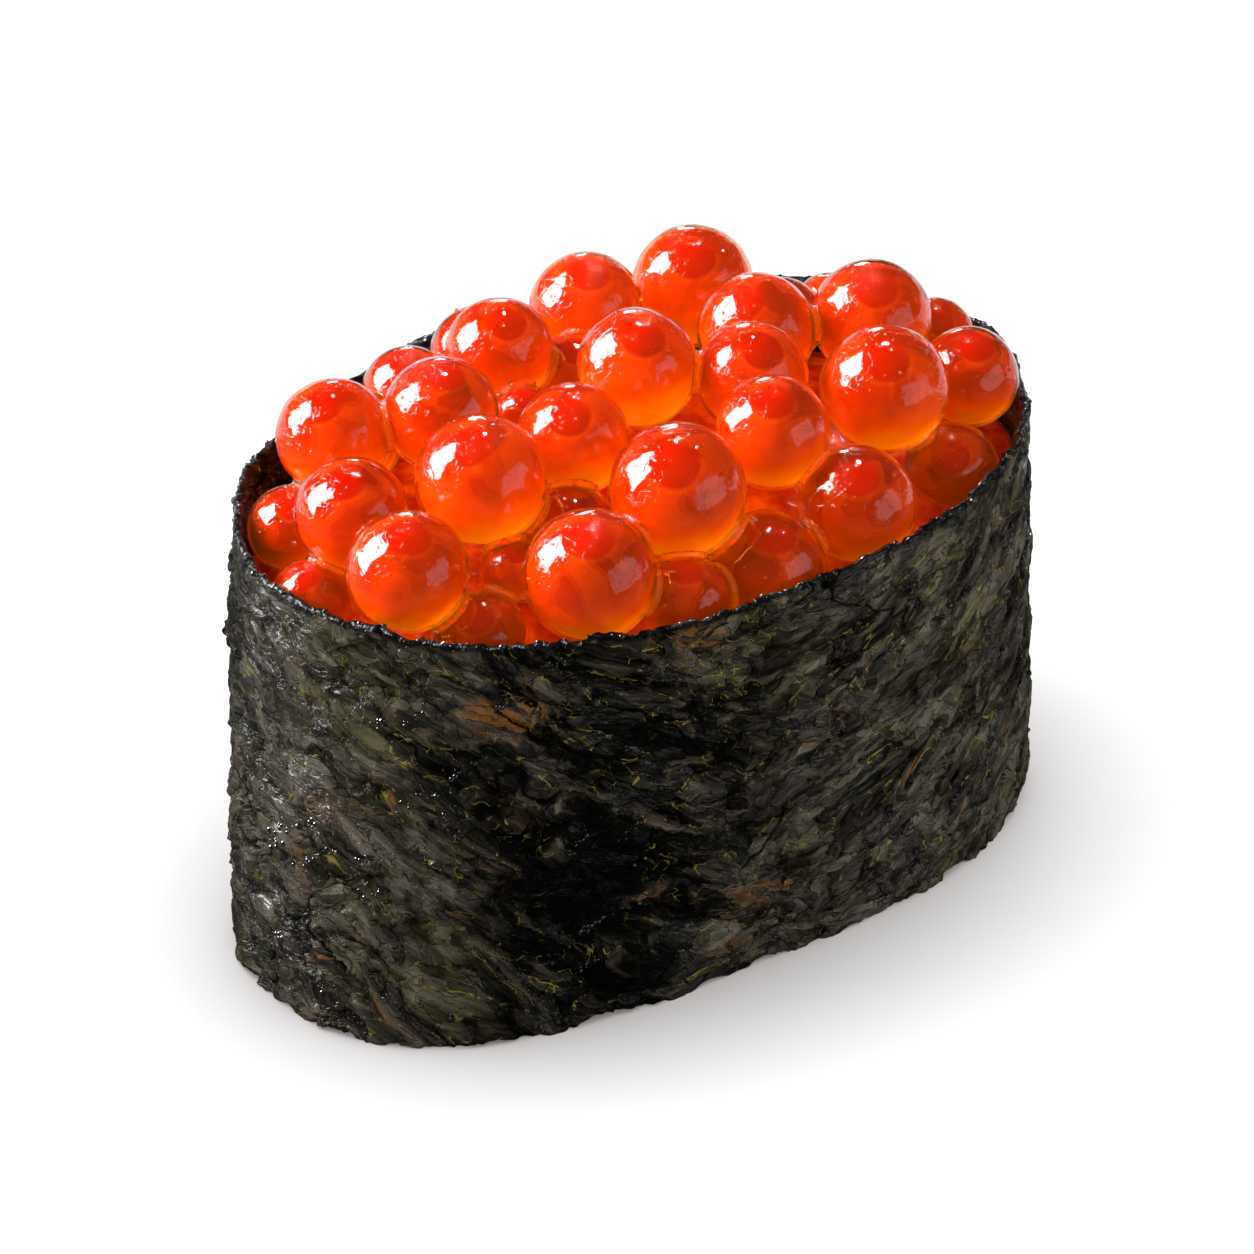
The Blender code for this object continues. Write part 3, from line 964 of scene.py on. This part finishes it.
def neck_profile(first, second, distance):
    """Section of the film that clings between two touching balls: along their axis, and out from it."""
    far_first, far_second = first + FILM, second + FILM
    along = (distance ** 2 + far_first ** 2 - far_second ** 2) / (2 * distance)
    out = math.sqrt(max(far_first ** 2 - along ** 2, 1e-12))
    start = math.atan2(-out, -along)
    end = math.atan2(-out, distance - along)
    end = start + (end - start) % (2 * math.pi)
    if end - start > math.pi:
        end -= 2 * math.pi
    turns = np.linspace(start, end, NECK_TURNS)
    edge = np.stack([along + FILM * np.cos(turns), out + FILM * np.sin(turns)], axis=-1)
    seam = (distance ** 2 + first ** 2 - second ** 2) / (2 * distance)
    inner = math.sqrt(max(first ** 2 - seam ** 2, (0.08 * MM) ** 2))
    return np.concatenate((edge, [[seam, inner - 0.03 * MM]]))


def necks(places, radii):
    """For every two eggs that touch: the first one's middle, the film's section, and three directions."""
    for i, j in zip(*np.triu_indices(len(radii), 1)):
        between = places[j] - places[i]
        distance = float(np.linalg.norm(between))
        if distance < 1.02 * (radii[i] + radii[j]):
            axis = between / distance
            side = np.cross(axis, (0.0, 0.0, 1.0) if abs(axis[2]) < 0.9 else (1.0, 0.0, 0.0))
            side /= np.linalg.norm(side)
            yield places[i], neck_profile(radii[i], radii[j], distance), axis, side, np.cross(axis, side)


def film_necks(places, radii):
    """A closed ring of film round each place where two eggs touch."""
    turn = np.linspace(0.0, 2 * math.pi, NECK_SIDES, endpoint=False)[:, None]
    rings = np.array([middle + profile[None, :, :1] * axis
                      + profile[None, :, 1:] * (np.cos(turn) * side + np.sin(turn) * other)[:, None, :]
                      for middle, profile, axis, side, other in necks(places, radii)])
    count, sides, columns = rings.shape[:3]
    faces = [ring_faces(sides, columns) + ring * sides * columns for ring in range(count)]
    return new_mesh("roe_film", rings, np.array(faces).reshape(-1, 4).tolist())


def brine_pool(places, radii):
    """The closed body of brine that the eggs stand in, drawn up a little round each of them."""
    turns = even_angles(POOL_COLUMNS)
    rings = np.linspace(1.0, 0.02, POOL_RINGS)[:, None]
    reach = outline_reach(turns, bpy.context.scene.sushi_belt.height * 0.8, WALL + 2 * GAP)
    top = spread(turns, rings * reach, POOL_EDGE + (POOL_TOP - POOL_EDGE) * (1.0 - rings ** 2.2)).copy()
    level = top[..., 2]
    for place, radius in zip(places, radii):
        width = np.sqrt(np.clip(radius ** 2 - (level - place[2]) ** 2, 0.0, None))
        gap = np.hypot(top[..., 0] - place[0], top[..., 1] - place[1]) - width
        level += np.where(width > 0.0, CLIMB * np.exp(-np.clip(gap, 0.0, None) / CLIMB_REACH), 0.0)
    np.minimum(level, POOL_TOP + 2.0 * MM, out=level)
    low = top[:1].copy()
    low[..., 2] = POOL_BOTTOM
    return lidded("roe_brine_pool", np.concatenate((low * (0.02, 0.02, 1.0), low * (0.9, 0.9, 1.0), top)))


def bead_places(places, radii):
    """Where droplets cling: round the necks of film, and here and there on the skins."""
    dice = np.random.default_rng(EGG_SEED + 2)
    spots, sizes = [], []
    for middle, profile, axis, side, other in necks(places, radii):
        along, out = profile[3]
        for turn in dice.uniform(0.0, 2 * math.pi, BEADS_TO_A_NECK):
            spoke = math.cos(turn) * side + math.sin(turn) * other
            spots.append(middle + axis * along + spoke * (out + 0.02 * MM))
            sizes.append(dice.uniform(*NECK_BEADS) * MM)
    for place, radius in zip(places, radii):
        for _ in range(BEADS_TO_AN_EGG):
            way = dice.normal(size=3) + (-0.8, -0.2, 0.8)
            spots.append(place + way / np.linalg.norm(way) * radius)
            sizes.append(dice.uniform(*SKIN_BEADS) * MM)
    spots, sizes = np.array(spots), np.array(sizes)
    apart = np.linalg.norm(spots[:, None, :] - places[None, :, :], axis=2) / radii[None, :]
    clear = (apart > 0.97).all(axis=1)
    return spots[clear], sizes[clear]


class SUSHI_OT_roe(Operator):
    """Heap the salmon eggs inside the belt, each a coloured yolk in a clear skin"""

    bl_idname = "sushi.roe"
    bl_label = "Salmon roe"

    def execute(self, context):
        roe = context.scene.sushi_roe
        places, radii = settle(filler_eggs(listed_eggs()))
        dice = np.random.default_rng(EGG_SEED + 1)
        count = len(radii)
        tops = np.array(SPOT_SIDE) + dice.uniform(-0.20, 0.20, (count, 3))
        tops /= np.linalg.norm(tops, axis=1, keepdims=True)
        # Painted light and painted glow for each egg, stored on its points.
        light, painted_glow_warmth = painted_egg_light(places, radii)
        values = {"radius": radii, "centre": places, "turn": dice.uniform(0.0, 2 * math.pi, (count, 3)),
                  "light": light, "painted_glow_warmth": painted_glow_warmth, "number": np.arange(count), "top": tops}
        kinds = (("roe_yolks", roe.yolk_share, yolk_material(), None),
                 ("roe_skins", 1.0, skin_material(), "roe_heap"))
        for name, size, material, node in kinds:
            piece = scattered(name, places, values, ball_tree(name, 4),
                              {"Size": size, "Unevenness": roe.unevenness}, material)
            press_flat(piece.data, places, radii, np.rint(stored(piece.data, "number")), size)
            place_piece(piece, material, node)
        return {"FINISHED"}


class SUSHI_OT_brine(Operator):
    """Wet the eggs: film where they touch, a pool between them, and beads"""

    bl_idname = "sushi.brine"
    bl_label = "Brine"

    def execute(self, context):
        places, radii = settle(filler_eggs(listed_eggs()))
        material = clear_material("roe_film", (1.0, 0.45, 0.08), 1.06, 1.0, 0.10)
        place_piece(new_object("roe_film", film_necks(places, radii)), material)
        place_piece(new_object("roe_brine_pool", brine_pool(places, radii)), brine_material())
        material = clear_material("roe_bead", (1.0, 0.35, 0.12), 1.33, 0.0, 0.05)
        place_piece(droplets("roe_beads", *bead_places(places, radii), 1, material), material)
        return {"FINISHED"}


# ---- rice

GRAIN_ROWS = 12
GRAIN_COLUMNS = 17
GRAIN_PITCH = (3.0, 2.4)
GRAIN_INSET = WALL + 3.1 * MM
CORE_COLUMNS = 120
CORE_INSET = WALL + 1.2 * MM
CORE_LIFT = 1.3 * MM
CORE_DROP = 1.0 * MM
CORE_BEVEL = 0.8 * MM


def rice_material():
    rice = bpy.context.scene.sushi_rice
    material, tree, shader = new_material("rice")
    patches, _ = cloud(tree, 0.5, 4.0, 0.6)
    sticky, bump = cloud(tree, 2.2, 4.0, 0.6, 0.0, 0.5)
    shade = ramp(patches, ((0.35, tuple(0.86 * part for part in rice.white)), (0.6, rice.white)))
    fill(shader, {"Base Color": shade, "Roughness": remap(sticky, 0.35, 0.65, 0.22, 0.42), "Normal": bump,
                  "Subsurface Weight": 0.5, "Subsurface Radius": (1.0, 0.85, 0.65), "Subsurface Scale": MM})
    return material


def rice_core():
    """The pressed rice inside, a closed block a little smaller than the belt's hollow."""
    turns = even_angles(CORE_COLUMNS)
    low, high = RICE_BOX[0][2] + CORE_LIFT, RICE_BOX[1][2] - CORE_DROP
    rings = ((low, 0.05), (low, 0.55), (low, 0.96), (low + CORE_BEVEL, 1.0), ((low + high) / 2, 1.0),
             (high - CORE_BEVEL, 1.0), (high, 0.96), (high, 0.55), (high, 0.05))
    rows = [spread(turns, outline_reach(turns, height, CORE_INSET) * part, height) for height, part in rings]
    return lidded("rice_core", np.array(rows))


def grain_places():
    """Grains that lie on the ground and against the belt, each with its own turn and size."""
    dice = np.random.default_rng(EGG_SEED + 3)
    spots, turns, sizes = [], [], []
    for level, row, column in np.ndindex(2, GRAIN_ROWS, GRAIN_COLUMNS):
        column += 0.5 * (row % 2) + 0.3 * level
        x = (column - GRAIN_COLUMNS / 2) * GRAIN_PITCH[0] + dice.uniform(-0.8, 0.8)
        y = (row - GRAIN_ROWS / 2 + 0.5) * GRAIN_PITCH[1] + dice.uniform(-0.6, 0.6)
        height = 1.0 + 1.5 * level + dice.uniform(-0.1, 0.3)
        if math.hypot(x, y) * MM > outline_reach(math.atan2(y, x), height * MM, GRAIN_INSET):
            continue
        spots.append((x * MM, y * MM, height * MM))
        turns.append((dice.uniform(-0.25, 0.25), dice.uniform(-0.25, 0.25), dice.uniform(0.0, math.pi)))
        sizes.append(dice.uniform(0.88, 1.08))
    return spots, turns, sizes


def grain_tree():
    """A plump cooked grain on every point, slightly dented."""
    given, last, tree = shaping_tree("Rice grains", "Length", "Width")
    ball = made(tree, "GeometryNodeMeshIcoSphere", {"Radius": 0.5, "Subdivisions": 2}, "Mesh")
    shaped = made(tree, "GeometryNodeTransform", {
        "Geometry": ball, "Scale": joined(given["Length"], given["Width"], given["Width"] * 0.82)})
    grains = made(tree, "GeometryNodeInstanceOnPoints",
                  {"Points": given["Geometry"], "Instance": shaped, "Scale": named(tree, "size", "FLOAT"),
                   "Rotation": named(tree, "turn")})
    grains = made(tree, "GeometryNodeRealizeInstances", {"Geometry": grains})
    dent = noise(made(tree, "GeometryNodeInputPosition") * (1.0 / MM), 0.6, 2.0) - 0.5
    push = made(tree, "GeometryNodeInputNormal") * (dent * (0.8 * MM))
    dented = made(tree, "GeometryNodeSetPosition", {"Geometry": grains, "Offset": push})
    return close_tree(dented, given, last)


class SUSHI_OT_rice(Operator):
    """Press the rice inside the belt, with its grains showing underneath"""

    bl_idname = "sushi.rice"
    bl_label = "Pressed rice"

    def execute(self, context):
        rice = context.scene.sushi_rice
        material = rice_material()
        place_piece(new_object("rice_core", rice_core()), material, "rice_block")
        spots, turns, sizes = grain_places()
        grains = scattered("rice_grains", spots, {"turn": turns, "size": sizes}, grain_tree(),
                           {"Length": rice.grain_length, "Width": rice.grain_width}, material)
        places = stored(grains.data)
        places[:, 2] = np.maximum(places[:, 2], 0.05 * MM)
        reach = np.hypot(places[:, 0], places[:, 1])
        room = outline_reach(np.arctan2(places[:, 1], places[:, 0]), places[:, 2], WALL + 2 * GAP)
        places[:, :2] *= np.minimum(1.0, room / np.maximum(reach, GAP))[:, None]
        put_coordinates(grains.data, places)
        place_piece(grains, material)
        return {"FINISHED"}


# ---- stage

# Each studio light: direction from the sushi, distance, size in metres, watts, and the rays that don't see it
LIGHTS = {
    "window": ((-0.63, 0.59, 0.50), 0.40, (0.26, 0.32), 7.0, "visible_diffuse"),
    "small_lamp": ((0.31, 0.36, 0.875), 0.40, (0.016, 0.016), 1.6, "visible_diffuse"),
    "window_fill": ((-0.60, 0.40, 0.75), 0.60, (0.40, 0.40), 0.75, "visible_glossy"),
    "side_card": ((0.46, -0.86, 0.155), 0.45, (0.46, 0.40), 0.70, "visible_diffuse"),
    "back_strip": ((0.50, 0.84, 0.24), 0.40, (0.06, 0.04), 0.22, "visible_diffuse"),
}
LIGHTS_MIDDLE = Vector((0.0, 0.0, 20.0 * MM))
FLOOR_REACH = 3.0
SKY = (("Is Diffuse Ray", 1.10), ("Is Transmission Ray", 0.80), ("Is Camera Ray", 1.0))
SKY_IN_GLOSS = 0.05
AIM = (-0.5 * MM, 1.62 * MM)
# Colour of the painted contact shadow on the floor.
CONTACT_SHADE = (0.40, 0.362, 0.342)
BEHIND = (0.577, 0.817, 0.0)


def make_floor(stage):
    mesh = bmesh.new()
    bmesh.ops.create_grid(mesh, x_segments=2, y_segments=2, size=FLOOR_REACH)
    data = bpy.data.meshes.new("floor")
    mesh.to_mesh(data)
    mesh.free()
    floor = new_object("floor", data)
    material, tree, shader = new_material("floor")
    path = {socket.name: Value(socket) for socket in add(tree, "ShaderNodeLightPath").outputs}
    place = made(tree, "ShaderNodeTexCoord", None, "Object")
    # Painted shade in reflections: the floor near the sushi turns dark to gloss, and dimmer to rays through
    # clear brine.
    dim = path["Is Glossy Ray"] * remap(dot(place, BEHIND), 60.0 * MM, 35.0 * MM)
    dim = dim + path["Is Transmission Ray"] * 0.15
    # Painted contact shadow: darker where the floor lies close to the sushi; camera rays also see it with a
    # faint glow.
    near = made(tree, "ShaderNodeAmbientOcclusion", {"Distance": 12.0 * MM}, "AO", samples=2)
    painted_contact_shadow = blend(near, CONTACT_SHADE, stage.floor)
    fill(shader, {"Base Color": blend(dim, painted_contact_shadow, (0.08, 0.08, 0.08)), "Roughness": 0.9,
                  "Specular IOR Level": 0.1, "Emission Color": painted_contact_shadow,
                  "Emission Strength": path["Is Camera Ray"] * 0.22})
    data.materials.append(material)


def make_world(scene):
    world = bpy.data.worlds.new("studio")
    world.use_nodes = True
    scene.world = world
    tree = world.node_tree
    path = add(tree, "ShaderNodeLightPath").outputs
    level = SKY_IN_GLOSS
    for rays, strength in SKY:
        level = made(tree, "ShaderNodeMix", {0: Value(path[rays]), 2: level, 3: strength})
    fill(tree.nodes["Background"], {"Color": (1.0, 1.0, 1.0), "Strength": level})


def make_lights():
    for name, (direction, distance, size, power, unseen_by) in LIGHTS.items():
        lamp = bpy.data.lights.new(name, "AREA")
        lamp.shape = "RECTANGLE"
        lamp.size, lamp.size_y = size
        lamp.energy = power
        thing = new_object(name, lamp)
        away = Vector(direction).normalized()
        thing.location = LIGHTS_MIDDLE + away * distance
        thing.rotation_euler = away.to_track_quat("Z", "Y").to_euler()
        setattr(thing, unseen_by, False)


def make_camera(scene, stage):
    turn, rise = stage.azimuth, stage.elevation
    back = Vector((math.sin(turn) * math.cos(rise), -math.cos(turn) * math.cos(rise), math.sin(rise)))
    right = Vector((math.cos(turn), math.sin(turn), 0.0))
    middle = Vector((0.0, 0.0, scene.sushi_belt.height / 2))
    lens = bpy.data.cameras.new("camera")
    lens.lens = stage.lens
    lens.sensor_width = 36.0
    lens.clip_start = 0.01
    camera = new_object("camera", lens)
    camera.location = middle + right * AIM[0] + back.cross(right) * AIM[1] + back * stage.distance
    camera.rotation_euler = back.to_track_quat("Z", "Y").to_euler()
    scene.camera = camera


class SUSHI_OT_stage(Operator):
    """Set the plain floor, the soft studio lights and the camera"""

    bl_idname = "sushi.stage"
    bl_label = "Stage"

    def execute(self, context):
        scene = context.scene
        scene.view_settings.view_transform = "Standard"
        make_floor(scene.sushi_stage)
        make_world(scene)
        make_lights()
        make_camera(scene, scene.sushi_stage)
        return {"FINISHED"}


class SUSHI_PT_panel(Panel):
    """Lists the steps in the order they are run"""

    bl_idname = "SUSHI_PT_panel"
    bl_label = "Gunkan sushi"
    bl_space_type = "VIEW_3D"
    bl_region_type = "UI"
    bl_category = "Sushi"

    def draw(self, context):
        for step in STEPS:
            self.layout.operator(step.bl_idname)
        for name in SETTINGS:
            settings = getattr(context.scene, name)
            box = self.layout.box()
            for key in settings.bl_rna.properties.keys():
                if key not in ("rna_type", "name"):
                    box.prop(settings, key)


STEPS = (SUSHI_OT_stage, SUSHI_OT_nori_belt, SUSHI_OT_rice, SUSHI_OT_roe, SUSHI_OT_brine)
SETTINGS = {"sushi_belt": BeltSettings, "sushi_roe": RoeSettings, "sushi_rice": RiceSettings,
            "sushi_stage": StageSettings}
CLASSES = (*SETTINGS.values(), *STEPS, SUSHI_PT_panel)


def register():
    for kind in CLASSES:
        bpy.utils.register_class(kind)
    for name, kind in SETTINGS.items():
        setattr(bpy.types.Scene, name, PointerProperty(type=kind))


def unregister():
    for name in SETTINGS:
        delattr(bpy.types.Scene, name)
    for kind in reversed(CLASSES):
        bpy.utils.unregister_class(kind)


def main():
    register()
    for step in STEPS:
        area, name = step.bl_idname.split(".")
        getattr(getattr(bpy.ops, area), name)()


if __name__ == "__main__":
    main()
